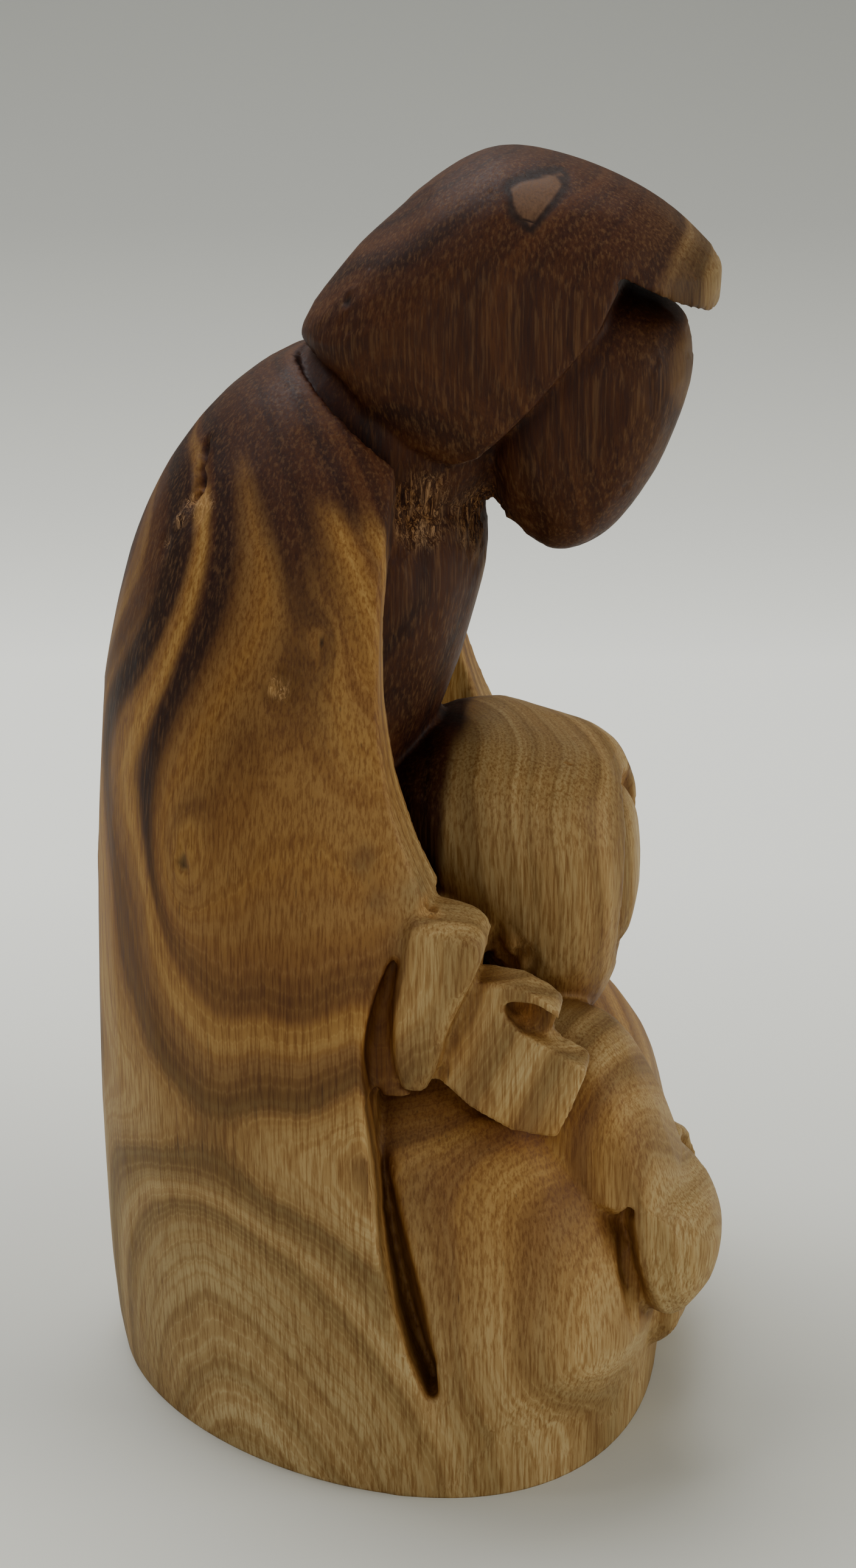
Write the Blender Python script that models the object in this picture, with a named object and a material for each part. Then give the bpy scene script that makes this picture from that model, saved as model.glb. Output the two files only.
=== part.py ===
"""A holy family group, carved from one piece of olive wood.

A hooded man stands and bows over a veiled woman, who sits in front of him with a swaddled
child in her lap. Both faces are left smooth and blank, as this style of carving does.
The group faces -Y, the man's left hand is at +X, and the origin is at the middle of its foot.
"""

import math

import bmesh
import bpy
from mathutils import Vector

# The one driving size is the height of the whole carving, in metres. Every proportion below is
# in 150ths of it, so on a carving 150 mm tall each number is a distance in millimetres.
HEIGHT = 0.150
GRID = 150
UNIT = HEIGHT / GRID

# How finely the carving is fused, how much it is softened, and how many facets are left.
GRAIN = 0.62
SOFTENING = 3
FACETS = 9300

# The cloak, row by row: up, back, side, and where it is widest.
CLOAK = [
    (-3, -36.6, 36.2, 4),
    (0, -37.4, 36.8, 4),
    (10, -38.6, 37.4, 3),
    (22, -39.0, 37.8, 2),
    (36, -39.1, 37.9, 1),
    (52, -38.7, 37.6, 0),
    (68, -38.0, 36.6, -2),
    (80, -37.1, 34.6, -4),
    (90, -36.1, 32.2, -5),
    (98, -34.4, 29.6, -6),
    (106, -32.0, 26.6, -7),
    (113, -28.7, 23.0, -8),
    (119, -24.6, 18.8, -9),
    (123.5, -20.1, 14.6, -10),
    (126.5, -15.5, 9.6, -11),
    (128.0, -12.0, 4.0, -11),
]
# Its back is pointed at the foot and round higher up.
ROUNDNESS = [(0, 1.76), (30, 1.76), (60, 1.85), (100, 2.0)]
CLOAK_FRONT = 34

# The front edge of the cloak: up, forward. It has a corner at the tip of the cuff.
CUFF_TIP = 72.8
EDGE_BELOW_TIP = [
    (-3, 4.6),
    (3, 5.4),
    (8, 7.8),
    (13.3, 6.6),
    (18.5, 4.8),
    (24.6, 3.2),
    (30.7, 1.9),
    (38.8, 0.8),
    (48.3, -0.3),
    (57.7, -0.1),
    (64.4, 1.5),
    (70.3, 4.4),
    (CUFF_TIP, 6.8),
]
EDGE_ABOVE_TIP = [
    (CUFF_TIP, 6.8),
    (77.4, 4.8),
    (85.1, 2.2),
    (94.1, 0.7),
    (104.7, 0.4),
    (114.7, 0.6),
    (128.0, 1.4),
]

# The woman's lap and skirt: up, front, side, and how square it is seen from above.
LAP = [
    (-3, 31.0, 36.6, 2.4),
    (0, 31.3, 37.0, 2.4),
    (7, 31.6, 36.9, 2.4),
    (12, 32.0, 36.5, 2.9),
    (17, 32.2, 36.2, 3.7),
    (26, 31.2, 35.2, 3.7),
    (36, 28.6, 33.4, 3.2),
    (44, 23.4, 30.4, 2.8),
    (49, 19.4, 26.0, 2.6),
    (53, 15.6, 20.0, 2.4),
    (55, 12.0, 13.0, 2.0),
]
LAP_MIDDLE = 4
LAP_BACK = -5

# The man's chest between the edges of his cloak: up, front, half width.
CHEST = [
    (60, -6.0, 9.0),
    (72, -1.3, 12.0),
    (78, 0.4, 13.6),
    (84, 3.0, 15.0),
    (90, 5.2, 16.4),
    (96, 7.0, 17.6),
    (102, 8.4, 18.2),
    (108, 8.6, 17.4),
    (113, 6.6, 15.0),
    (118, 4.0, 12.0),
]
CHEST_BACK = -20

# Outlines seen from the side, as forward and up.
HOOD = [
    (-11.9, 128.4), (-11.2, 132.2), (-6.2, 138.8), (-1.1, 143.6), (4.0, 147.7), (10.2, 150.1),
    (18.2, 148.8), (26.2, 145.4), (32.0, 141.0), (34.8, 136.4), (32.4, 126.0), (25.0, 115.0),
    (12.0, 110.5), (2.0, 112.5), (-7.0, 119.5),
]
HOOD_OPENING = [
    (24.9, 138.2), (22.2, 132.4), (18.8, 128.4), (15.5, 124.5), (12.1, 120.9), (9.1, 118.2),
    (6.5, 117.1), (4.4, 117.9), (0.9, 119.7), (-2.6, 122.6), (-6.0, 126.2), (-9.4, 128.2),
    (-13.0, 129.4), (-30.0, 129.4), (-30.0, 95.0), (50.0, 95.0), (50.0, 133.6), (32.8, 133.6), (29.0, 135.2),
]
FACE = [
    (14.0, 136.0), (21.0, 136.8), (27.0, 134.4), (30.8, 131.6), (31.8, 126.5), (30.4, 120.2),
    (27.2, 113.4), (22.6, 107.6), (17.2, 105.4), (12.8, 107.8), (9.6, 112.8), (9.0, 124.0),
]
VEIL = [
    (-3.0, 79.2), (1.6, 82.8), (5.6, 84.3), (9.6, 84.6), (14.2, 83.6), (19.0, 82.2), (22.8, 80.6),
    (25.3, 77.7), (27.0, 73.0), (27.3, 66.4), (26.1, 58.1), (24.0, 51.4), (20.6, 47.8), (15.5, 49.5),
    (8.0, 56.6), (2.4, 62.0), (-3.0, 70.0),
]
SHOULDER_AND_SLEEVE = [
    (14.0, 52.0), (17.4, 54.0), (21.4, 54.0), (24.8, 52.6), (27.8, 49.4), (30.8, 44.4),
    (33.2, 38.5), (34.9, 34.2), (37.7, 31.4), (39.3, 27.0), (38.4, 21.8), (36.0, 18.1),
    (33.4, 16.8), (31.0, 18.6), (30.2, 22.6), (29.7, 27.0), (27.6, 31.0),
    (21.0, 33.6), (12.0, 38.6),
]
# Her left arm is held back and lower than her right, round the child's head.
LEFT_SLEEVE_SHIFT = (6.5, 11)
CUFF = [
    (4.6, 72.2), (8.0, 72.4), (11.8, 71.2), (13.0, 69.2), (12.2, 66.2), (10.4, 62.2), (8.8, 58.2),
    (7.6, 54.0), (5.7, 50.7), (3.7, 52.0), (2.8, 56.2), (2.8, 61.6), (3.5, 67.2),
]
FOREARM = [(-4, 49.2), (-4, 66), (5, 66.5), (11, 63), (10.5, 58), (9.4, 52.6), (5, 49.6)]
PALM = [(8, 51), (9, 59), (14, 59.5), (18.4, 56.5), (21.6, 52.5), (20.4, 46.2), (13, 47.5)]
HAND = [
    (10.0, 64.0), (13.0, 64.4), (17.0, 63.9), (20.0, 62.2), (21.9, 60.0), (24.4, 54.3), (22.8, 49.9),
    (20.9, 45.4), (15.5, 45.6), (11.3, 48.2), (8.0, 51.3),
]
# The notch between the thumb and the fingers, and its open end in front of the thumb.
THUMB_NOTCH = [
    (15.0, 62.0), (16.9, 62.1), (19.0, 61.7), (21.5, 60.0), (27.0, 60.0), (27.0, 53.0), (24.3, 54.4),
    (19.6, 57.1), (17.4, 58.3), (15.2, 60.2),
]
THUMB_GAP = [(19.9, 57.2), (21.0, 60.3), (22.0, 62.2), (28.0, 62.0), (28.0, 52.6), (24.3, 54.7)]
# The slot between sleeve and skirt: up, skirt side, sleeve side deep down, sleeve side outside.
SLEEVE_SLOT = [
    (35.6, 29.6, 29.7, 30.2),
    (32.8, 27.5, 28.6, 30.6),
    (29.6, 27.6, 29.0, 31.0),
    (25.6, 27.9, 29.6, 32.4),
    (22.4, 28.6, 30.6, 34.0),
    (19.8, 29.1, 32.0, 36.2),
    (17.6, 29.6, 35.0, 41.0),
    (16.0, 30.1, 36.0, 41.0),
    (14.6, 31.0, 36.0, 41.0),
]
# The groove between cloak and skirt: up, cloak side, skirt side deep down, skirt side outside.
GROOVE = [
    (50.5, -0.1, 0.6, 5.4),
    (44.0, 0.4, 1.2, 6.8),
    (38.0, 1.0, 1.8, 8.4),
    (31.0, 1.9, 2.7, 10.2),
    (24.6, 3.2, 4.0, 11.4),
    (18.5, 4.8, 5.5, 11.4),
    (13.0, 7.0, 7.3, 9.0),
]
# The shallow recess above it, between cloak and cuff.
RECESS = [
    (69.0, 3.6, 3.8, 4.0),
    (63.0, 1.2, 2.9, 3.1),
    (58.0, 0.1, 2.8, 3.0),
    (53.5, -0.2, 3.0, 3.2),
    (48.8, 0.7, 2.9, 3.3),
]
# The hollow under the hand, up to the hand: forward, upper side, lower side outside and inside.
UNDER_HAND = [
    (2.6, 51.4, 50.6, 51.2),
    (5.0, 52.0, 48.4, 50.8),
    (8.0, 52.0, 44.8, 49.4),
    (11.3, 49.0, 41.6, 46.8),
    (16.0, 46.4, 40.4, 44.8),
    (21.2, 45.8, 42.4, 45.0),
]

# The child's wrapped body, from its feet to its neck: along, f, l, u, half height, half width.
CHILD_BODY = [
    (0, 28.0, -15, 12.0, 5.4, 6.0),
    (0.5, 29.0, -4, 14.8, 7.4, 7.2),
    (1, 28.8, 8, 17.6, 7.0, 6.8),
]


def at(forward, left, up):
    """A place on the carving: forward is the way the group looks, left is the man's left."""
    return Vector((left, -forward, up)) * UNIT


def between(rows, key, column=1):
    """A smooth curve through rows that are sorted by their first number, read at key."""
    keys = [row[0] for row in rows]
    values = [row[column] for row in rows]
    key = min(max(key, keys[0]), keys[-1])
    last = len(rows) - 1
    i = max(k for k in range(last) if keys[k] <= key)

    def slope(k):
        low, high = max(k - 1, 0), min(k + 1, last)
        return (values[high] - values[low]) / (keys[high] - keys[low])

    span = keys[i + 1] - keys[i]
    s = (key - keys[i]) / span
    rise = values[i + 1] - values[i]
    start, end = slope(i) * span, slope(i + 1) * span
    return (
        values[i] + s * start + s * s * (3 * rise - 2 * start - end)
        + s * s * s * (start + end - 2 * rise)
    )


def around(points, turn, curved=True):
    """A closed line through points, read at turn from 0 to 1."""
    count = len(points)
    place = (turn % 1) * count
    i = int(place)
    s = place - i
    a, b, c, d = (points[(i + k) % count] for k in (-1, 0, 1, 2))
    if not curved:
        return tuple(q + s * (r - q) for q, r in zip(b, c))
    return tuple(
        0.5 * (2 * q + s * (r - p) + s * s * (2 * p - 5 * q + 4 * r - v)
               + s * s * s * (3 * q - p - 3 * r + v))
        for p, q, r, v in zip(a, b, c, d)
    )


def power(value, exponent):
    return math.copysign(abs(value) ** exponent, value)


def piece(name, mesh):
    """An object of this name from a bmesh, with its faces pointing out."""
    bmesh.ops.recalc_face_normals(mesh, faces=mesh.faces)
    data = bpy.data.meshes.new(name)
    mesh.to_mesh(data)
    mesh.free()
    made = bpy.data.objects.new(name, data)
    bpy.context.scene.collection.objects.link(made)
    return made


def skin(name, place, columns=64, rows=32):
    """A closed body: a grid wrapped round, where place(turn, along) gives each point."""
    mesh = bmesh.new()
    bmesh.ops.create_grid(mesh, x_segments=columns, y_segments=rows, size=0.5)
    for vert in mesh.verts:
        vert.co = place(round(vert.co.x + 0.5, 6), round(vert.co.y + 0.5, 6))
    bmesh.ops.remove_doubles(mesh, verts=mesh.verts, dist=0.002 * UNIT)
    bmesh.ops.holes_fill(mesh, edges=[edge for edge in mesh.edges if edge.is_boundary])
    return piece(name, mesh)


def pillow(name, outline, low, high, boxy=2.4, curved=True, narrowing=0.0, columns=64, rows=28):
    """A body with this outline seen from the side, rounded off towards left = low and high.

    Its lowest point is narrower than its highest one by the share that narrowing gives.
    """
    count = len(outline)
    middle = [sum(point[k] for point in outline) / count for k in (0, 1)]
    top, bottom = max(point[1] for point in outline), min(point[1] for point in outline)

    def place(turn, along):
        angle = (along - 0.5) * math.pi * 0.995
        left = (low + high) / 2 + (high - low) / 2 * power(math.sin(angle), 2 / boxy)
        share = abs(math.cos(angle)) ** (2 / boxy)
        f, u = (m + (p - m) * share for m, p in zip(middle, around(outline, turn, curved)))
        depth = min(max((top - u) / (top - bottom), 0), 1)
        return at(f, left * (1 - narrowing * depth * depth), u)

    return skin(name, place, columns, rows)


def prism(name, low_outline, low, high_outline, high, bevel=0.0):
    """A flat-sided body between an outline at left = low and one at left = high."""
    mesh = bmesh.new()
    ends = []
    for outline, left in ((low_outline, low), (high_outline, high)):
        ends.append([mesh.verts.new(at(f, left, u)) for f, u in outline])
    caps = [mesh.faces.new(end) for end in ends]
    count = len(ends[0])
    for k in range(count):
        after = (k + 1) % count
        mesh.faces.new((ends[0][k], ends[0][after], ends[1][after], ends[1][k]))
    bmesh.ops.recalc_face_normals(mesh, faces=mesh.faces)
    if bevel:
        rims = {edge for cap in caps for edge in cap.edges}
        bmesh.ops.bevel(mesh, geom=list(rims), offset=bevel * UNIT, segments=2, profile=0.6)
    return piece(name, mesh)


def slab(name, outline, low, high, bevel=0.0):
    """A flat-sided body with this outline seen from the side, from left = low to high."""
    return prism(name, outline, low, outline, high, bevel)


def ball(name, centre, reach, boxy=2.0):
    """An ellipsoid, or with boxy over 2 a softly squared one."""

    def place(turn, along):
        sweep, rise = turn * math.tau, (along - 0.5) * math.pi
        ring = abs(math.cos(rise)) ** (2 / boxy)
        return at(
            centre[0] + reach[0] * ring * power(math.cos(sweep), 2 / boxy),
            centre[1] + reach[1] * ring * power(math.sin(sweep), 2 / boxy),
            centre[2] + reach[2] * power(math.sin(rise), 2 / boxy),
        )

    return skin(name, place, 48, 24)


def limb(name, path, across=(0, 1, 0), columns=32, rows=40):
    """A rod with round ends. A row of path is along, forward, left, up, half height, half width.

    Its width lies along across, which is given as forward, left and up.
    """

    def centre(along):
        return Vector([between(path, along, k) for k in (1, 2, 3)])

    def place(turn, along):
        tip = min(along, 1 - along) / 0.12
        swell = math.sqrt(max(1 - (1 - min(tip, 1)) ** 2, 0.0004))
        ahead = (centre(min(along + 0.01, 1)) - centre(max(along - 0.01, 0))).normalized()
        tall = ahead.cross(Vector(across)).normalized()
        wide = tall.cross(ahead)
        angle = turn * math.tau
        spot = (
            centre(along)
            + tall * between(path, along, 4) * swell * math.sin(angle)
            + wide * between(path, along, 5) * swell * math.cos(angle)
        )
        return at(*spot)

    return skin(name, place, columns, rows)


def cloak():
    """The man's cloak: a bell that is open in front, with a sharp edge down each side."""
    low, high = CLOAK[0][0], CLOAK[-1][0]
    straight = 0.25

    def place(turn, along):
        lower = along <= 0.5
        start, span = (low, CUFF_TIP - low) if lower else (CUFF_TIP, high - CUFF_TIP)
        up = start + span * (along * 2 - (0 if lower else 1))
        edge = between(EDGE_BELOW_TIP if lower else EDGE_ABOVE_TIP, up)
        back, side, middle = (between(CLOAK, up, column) for column in (1, 2, 3))
        front = CLOAK_FRONT * side / 37
        share = min(max((edge - middle) / front, 0), 0.98)
        corner = math.acos(share)
        if turn > 1 - straight:
            across = (turn - 1 + straight) / straight
            return at(middle + front * share, side * math.sin(corner) * (2 * across - 1), up)
        angle = corner + (math.tau - 2 * corner) * turn / (1 - straight)
        behind = math.cos(angle) < 0
        exponent = 2 / between(ROUNDNESS, up) if behind else 1
        reach = middle - back if behind else front
        f = middle + reach * power(math.cos(angle), exponent)
        return at(f, side * power(math.sin(angle), exponent), up)

    return skin("cloak", place, 120, 96)


def lap():
    low, high = LAP[0][0], LAP[-1][0]

    def place(turn, along):
        up = low + (high - low) * along
        front, side, square = (between(LAP, up, column) for column in (1, 2, 3))
        angle = turn * math.tau
        reach = front - LAP_MIDDLE if math.cos(angle) > 0 else LAP_MIDDLE - LAP_BACK
        f = LAP_MIDDLE + reach * power(math.cos(angle), 2 / square)
        return at(f, side * power(math.sin(angle), 2 / square), up)

    return skin("lap", place, 80, 48)


def chest():
    low, high = CHEST[0][0], CHEST[-1][0]

    def place(turn, along):
        up = low + (high - low) * along
        front, side = between(CHEST, up, 1), between(CHEST, up, 2)
        angle = turn * math.tau
        middle, reach = (front + CHEST_BACK) / 2, (front - CHEST_BACK) / 2
        return at(middle + reach * math.cos(angle), side * math.sin(angle), up)

    return skin("chest", place, 64, 40)


def settled(made):
    """The object with what its modifiers do made part of its mesh."""
    graph = bpy.context.evaluated_depsgraph_get()
    mesh = bpy.data.meshes.new_from_object(made.evaluated_get(graph))
    made.modifiers.clear()
    made.data = mesh
    return made


def cut(made, cutters):
    """The object with these taken out of it, one after the other."""
    for cutter in cutters:
        boolean = made.modifiers.new(cutter.name, "BOOLEAN")
        boolean.operation = "DIFFERENCE"
        boolean.object = cutter
        settled(made)
        bpy.data.objects.remove(cutter)
    return made


def joined(name, pieces):
    mesh = bmesh.new()
    for each in pieces:
        mesh.from_mesh(each.data)
        bpy.data.objects.remove(each)
    return piece(name, mesh)


def remeshed(made, grain):
    modifier = made.modifiers.new("fuse", "REMESH")
    modifier.mode = "VOXEL"
    modifier.voxel_size = grain * UNIT
    return settled(made)


def veiled_head():
    """The woman's head: a smooth, blank oval set back in the front of her veil."""
    veil = pillow("veil", VEIL, -15.5, 15.5, 2.9)
    cut(veil, [ball("face_recess", (28.4, 0, 66), (6.4, 8.9, 12.6), 2.4)])
    return [veil, ball("veiled_face", (16.6, 0, 65.8), (10.8, 8.0, 11.6), 3.0)]


def swaddled_child():
    """The child: a wrapped body across the lap, and a blank face in a round hood."""
    hood = ball("child_hood", (29.4, 9.0, 19.4), (7.6, 7.6, 8.0))
    cut(hood, [ball("child_recess", (35.4, 8.4, 20.8), (4.4, 5.4, 5.6))])
    body = limb("child_body", CHILD_BODY, across=(1, 0, 0))
    return [hood, body, ball("child_face", (28.8, 8.6, 19.8), (5.0, 5.6, 5.8))]


def swaddling():
    """The turns of cloth round the child, as thin cuts round the front of its body."""
    turns = []
    for along in (0.44, 0.58, 0.72):
        f, left, up, reach = (between(CHILD_BODY, along, column) for column in (1, 2, 3, 4))
        rows = []
        for k in range(6):
            angle = math.radians(-75 + 34 * k)
            spot = (f + reach * math.cos(angle), left + 0.7 * k, up + reach * math.sin(angle))
            rows.append((k / 5, *spot, 0.7, 0.5))
        turns.append(limb("swaddling_turn", rows))
    return turns


def figures():
    """Every mass of the group, still overlapping."""
    collar = ball("collar", (5, 0, 124), (18.3, 18.3, 18.3))
    front_hollow = ball("front_hollow", (12, 0, 87), (19, 26, 24), 4)
    hood = cut(pillow("hood", HOOD, -17, 17, 2.5), [slab("hood_opening", HOOD_OPENING, -20, 20)])
    masses = [
        cut(cloak(), [collar, front_hollow]),
        hood,
        lap(),
        chest(),
        pillow("face", FACE, -13, 13, 2.8, narrowing=0.2),
        limb("neck", [(0, -12, 0, 106, 14, 14), (0.5, -2, 0, 118, 13.6, 13.6), (1, 9, 0, 128, 11, 11)]),
    ]
    masses += veiled_head() + swaddled_child()
    for side in (-1, 1):
        back, down = LEFT_SLEEVE_SHIFT if side > 0 else (0, 0)
        sleeve = [(f - back, u - down) for f, u in SHOULDER_AND_SLEEVE]
        masses += [
            pillow("sleeve", sleeve, *sorted((side * 6, side * 27.5)), 2.6),
            pillow("cuff", CUFF, *sorted((side * 27, side * 36.8)), 6.0),
            slab("forearm", FOREARM, side * 14, side * 32.8),
            slab("palm", PALM, side * 24, side * 30.2),
            cut(slab("hand", HAND, side * 28, side * 33.4, 0.8), [
                slab("thumb_notch", THUMB_NOTCH, side * 30.4, side * 40),
                slab("thumb_gap", THUMB_GAP, side * 20, side * 41),
            ]),
        ]
    return masses


def wedge(name, rows, deep_left, outside_left):
    """A cutter that is narrow deep down and wide outside, from rows like those of GROOVE."""
    near_side = [(row[1], row[0]) for row in rows]
    deep, outside = ([(row[k], row[0]) for row in reversed(rows)] for k in (2, 3))
    return prism(name, near_side + deep, deep_left, near_side + outside, outside_left)


def under_hand(side):
    """The hollow under the hand, which leaves it standing proud of the skirt."""
    upper = [(row[0], row[1]) for row in UNDER_HAND]
    outside, inside = ([(row[0], row[k]) for row in reversed(UNDER_HAND)] for k in (2, 3))
    return prism("under_hand", upper + inside, side * 25, upper + outside, side * 40)


def hollows():
    """What is cut out of the fused group."""
    brow = [(24.0, 138.9), (33.4, 134.0), (33.4, 132.4), (24.4, 137.2)]
    made = [slab("brow_slit", brow, -20, 20), wedge("sleeve_slot", SLEEVE_SLOT, -24.5, -30)]
    for side in (-1, 1):
        made.append(wedge("groove", GROOVE, side * 31, side * 44))
        made.append(wedge("recess", RECESS, side * 34.4, side * 43))
        made.append(under_hand(side))
    return made + swaddling()


def carving():
    group = remeshed(joined("holy_family_carving", figures()), GRAIN)
    cut(group, hollows())
    remeshed(group, GRAIN)
    soften = group.modifiers.new("soften", "SMOOTH")
    soften.factor = 0.5
    soften.iterations = SOFTENING
    settled(group)
    facet = group.modifiers.new("facet", "DECIMATE")
    facet.ratio = FACETS / (2 * len(group.data.polygons))
    settled(group)
    mesh = bmesh.new()
    mesh.from_mesh(group.data)
    everything = mesh.verts[:] + mesh.edges[:] + mesh.faces[:]
    bmesh.ops.bisect_plane(
        mesh, geom=everything, plane_co=(0, 0, 0), plane_no=(0, 0, 1), clear_inner=True
    )
    bmesh.ops.holes_fill(mesh, edges=[edge for edge in mesh.edges if edge.is_boundary])
    bmesh.ops.triangulate(mesh, faces=mesh.faces)
    bmesh.ops.recalc_face_normals(mesh, faces=mesh.faces)
    mesh.to_mesh(group.data)
    mesh.free()
    return group


def olive_wood():
    material = bpy.data.materials.new("olive_wood")
    material.use_nodes = True
    shader = material.node_tree.nodes["Principled BSDF"]
    shader.inputs["Base Color"].default_value = (0.24, 0.13, 0.05, 1)
    shader.inputs["Roughness"].default_value = 0.5
    return material


def main():
    for old in list(bpy.data.objects):
        bpy.data.objects.remove(old)
    group = carving()
    group.data.materials.clear()
    group.data.materials.append(olive_wood())


main()
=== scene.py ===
import math

import bmesh
import bpy
import numpy as np
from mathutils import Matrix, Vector, bvhtree, kdtree, noise


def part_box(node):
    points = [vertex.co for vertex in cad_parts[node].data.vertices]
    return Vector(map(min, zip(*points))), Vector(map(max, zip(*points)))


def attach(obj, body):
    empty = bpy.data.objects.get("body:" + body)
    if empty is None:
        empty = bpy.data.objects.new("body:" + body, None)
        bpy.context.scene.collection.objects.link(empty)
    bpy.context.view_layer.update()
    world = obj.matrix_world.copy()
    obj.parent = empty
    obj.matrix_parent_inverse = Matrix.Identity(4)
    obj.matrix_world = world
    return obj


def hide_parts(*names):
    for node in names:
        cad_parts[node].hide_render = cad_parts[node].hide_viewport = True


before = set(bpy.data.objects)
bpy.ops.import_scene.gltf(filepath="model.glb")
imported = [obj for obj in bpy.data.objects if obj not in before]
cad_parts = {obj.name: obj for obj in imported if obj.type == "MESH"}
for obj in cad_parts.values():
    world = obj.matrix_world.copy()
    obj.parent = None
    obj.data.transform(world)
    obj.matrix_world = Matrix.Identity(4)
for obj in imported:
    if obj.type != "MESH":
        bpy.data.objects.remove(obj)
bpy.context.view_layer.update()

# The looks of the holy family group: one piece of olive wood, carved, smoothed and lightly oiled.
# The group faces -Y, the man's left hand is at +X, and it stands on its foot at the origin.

# Every proportion below is in 150ths of the carving's height, which the frame gives, so on a
# carving 150 mm tall each number is a distance in millimetres.
GRID = 150
foot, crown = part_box("holy_family_carving")
UNIT = (crown[2] - foot[2]) / GRID

# How finely the carving is fused, how much it is softened, and how many facets are left.
GRAIN = 0.42
SOFTENING = 3
FACETS = 190000

# The cloak, row by row: up, back, side, and where it is widest.
CLOAK = [
    (-3, -36.6, 36.2, 4),
    (0, -37.4, 36.8, 4),
    (10, -38.6, 37.4, 3),
    (22, -39.0, 37.8, 2),
    (36, -39.1, 37.9, 1),
    (52, -38.7, 37.6, 0),
    (68, -38.0, 36.6, -2),
    (80, -37.1, 34.6, -4),
    (90, -36.1, 32.2, -5),
    (98, -34.4, 29.6, -6),
    (106, -32.0, 26.6, -7),
    (113, -28.7, 23.0, -8),
    (119, -24.6, 18.8, -9),
    (123.5, -20.1, 14.6, -10),
    (126.5, -15.5, 9.6, -11),
    (128.0, -12.0, 4.0, -11),
]
# Its back is pointed at the foot and round higher up.
ROUNDNESS = [(0, 1.76), (30, 1.76), (60, 1.85), (100, 2.0)]
# Its front reaches this far forward where its sides are this far out.
CLOAK_FRONT = 34
CLOAK_SIDE = 37

# The front edge of the cloak: up, forward. It has a corner at the tip of the cuff.
CUFF_TIP = 72.8
EDGE_BELOW_TIP = [
    (-3, 4.6),
    (3, 5.4),
    (8, 7.8),
    (13.3, 6.6),
    (18.5, 4.8),
    (24.6, 3.2),
    (30.7, 1.9),
    (38.8, 0.8),
    (48.3, -0.3),
    (57.7, -0.1),
    (64.4, 1.5),
    (70.3, 4.4),
    (CUFF_TIP, 6.8),
]
EDGE_ABOVE_TIP = [
    (CUFF_TIP, 6.8),
    (77.4, 4.8),
    (85.1, 2.2),
    (94.1, 0.7),
    (104.7, 0.4),
    (114.7, 0.6),
    (128.0, 1.4),
]

# The woman's lap and skirt: up, front, side, and how square it is seen from above.
LAP = [
    (-3, 31.0, 36.6, 2.4),
    (0, 31.3, 37.0, 2.4),
    (7, 31.6, 36.9, 2.4),
    (12, 32.0, 36.5, 2.9),
    (17, 32.2, 36.2, 3.7),
    (26, 31.2, 35.2, 3.7),
    (36, 28.6, 33.4, 3.2),
    (44, 23.4, 30.4, 2.8),
    (49, 19.4, 26.0, 2.6),
    (53, 15.6, 20.0, 2.4),
    (55, 12.0, 13.0, 2.0),
]
# Where it is widest, and how far back it goes inside the cloak.
LAP_MIDDLE = 4
LAP_BACK = -5

# The man's chest between the edges of his cloak: up, front, half width.
CHEST = [
    (60, -6.0, 9.0),
    (72, -1.3, 12.0),
    (78, 0.4, 13.6),
    (84, 3.0, 15.0),
    (90, 5.2, 16.4),
    (96, 7.0, 17.6),
    (102, 8.4, 18.2),
    (108, 8.6, 17.4),
    (113, 6.6, 15.0),
    (118, 4.0, 12.0),
]
CHEST_BACK = -20

# Outlines seen from the side, as forward and up.
HOOD = [
    (-11.9, 128.4), (-11.2, 132.2), (-6.2, 138.8), (-1.1, 143.6), (4.0, 147.7), (10.2, 150.1),
    (18.2, 148.8), (26.2, 145.4), (32.0, 141.0), (34.8, 136.4), (32.4, 126.0), (25.0, 115.0),
    (12.0, 110.5), (2.0, 112.5), (-7.0, 119.5),
]
HOOD_OPENING = [
    (24.9, 138.2), (22.2, 132.4), (18.8, 128.4), (15.5, 124.5), (12.1, 120.9), (9.1, 118.2),
    (6.5, 117.1), (4.4, 117.9), (0.9, 119.7), (-2.6, 122.6), (-6.0, 126.2), (-9.4, 128.2),
    (-13.0, 129.4), (-30.0, 129.4), (-30.0, 95.0), (50.0, 95.0), (50.0, 133.6), (32.8, 133.6),
    (29.0, 135.2),
]
FACE = [
    (14.0, 136.0), (21.0, 136.8), (27.0, 134.4), (30.8, 131.6), (31.8, 126.5), (30.4, 120.2),
    (27.2, 113.4), (22.6, 107.6), (17.2, 105.4), (12.8, 107.8), (9.6, 112.8), (9.0, 124.0),
]
VEIL = [
    (-3.0, 79.2), (1.6, 82.8), (5.6, 84.3), (9.6, 84.6), (14.2, 83.6), (19.0, 82.2), (22.8, 80.6),
    (25.3, 77.7), (27.0, 73.0), (27.3, 66.4), (26.1, 58.1), (24.0, 51.4), (20.6, 47.8),
    (15.5, 49.5), (8.0, 56.6), (2.4, 62.0), (-3.0, 70.0),
]
SHOULDER_AND_SLEEVE = [
    (14.0, 52.0), (17.4, 54.0), (21.4, 54.0), (24.8, 52.6), (27.8, 49.4), (30.8, 44.4),
    (33.2, 38.5), (34.9, 34.2), (37.7, 31.4), (39.3, 27.0), (38.4, 21.8), (36.0, 18.1),
    (33.4, 16.8), (31.0, 18.6), (30.2, 22.6), (29.7, 27.0), (27.6, 31.0),
    (21.0, 33.6), (12.0, 38.6),
]
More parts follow.
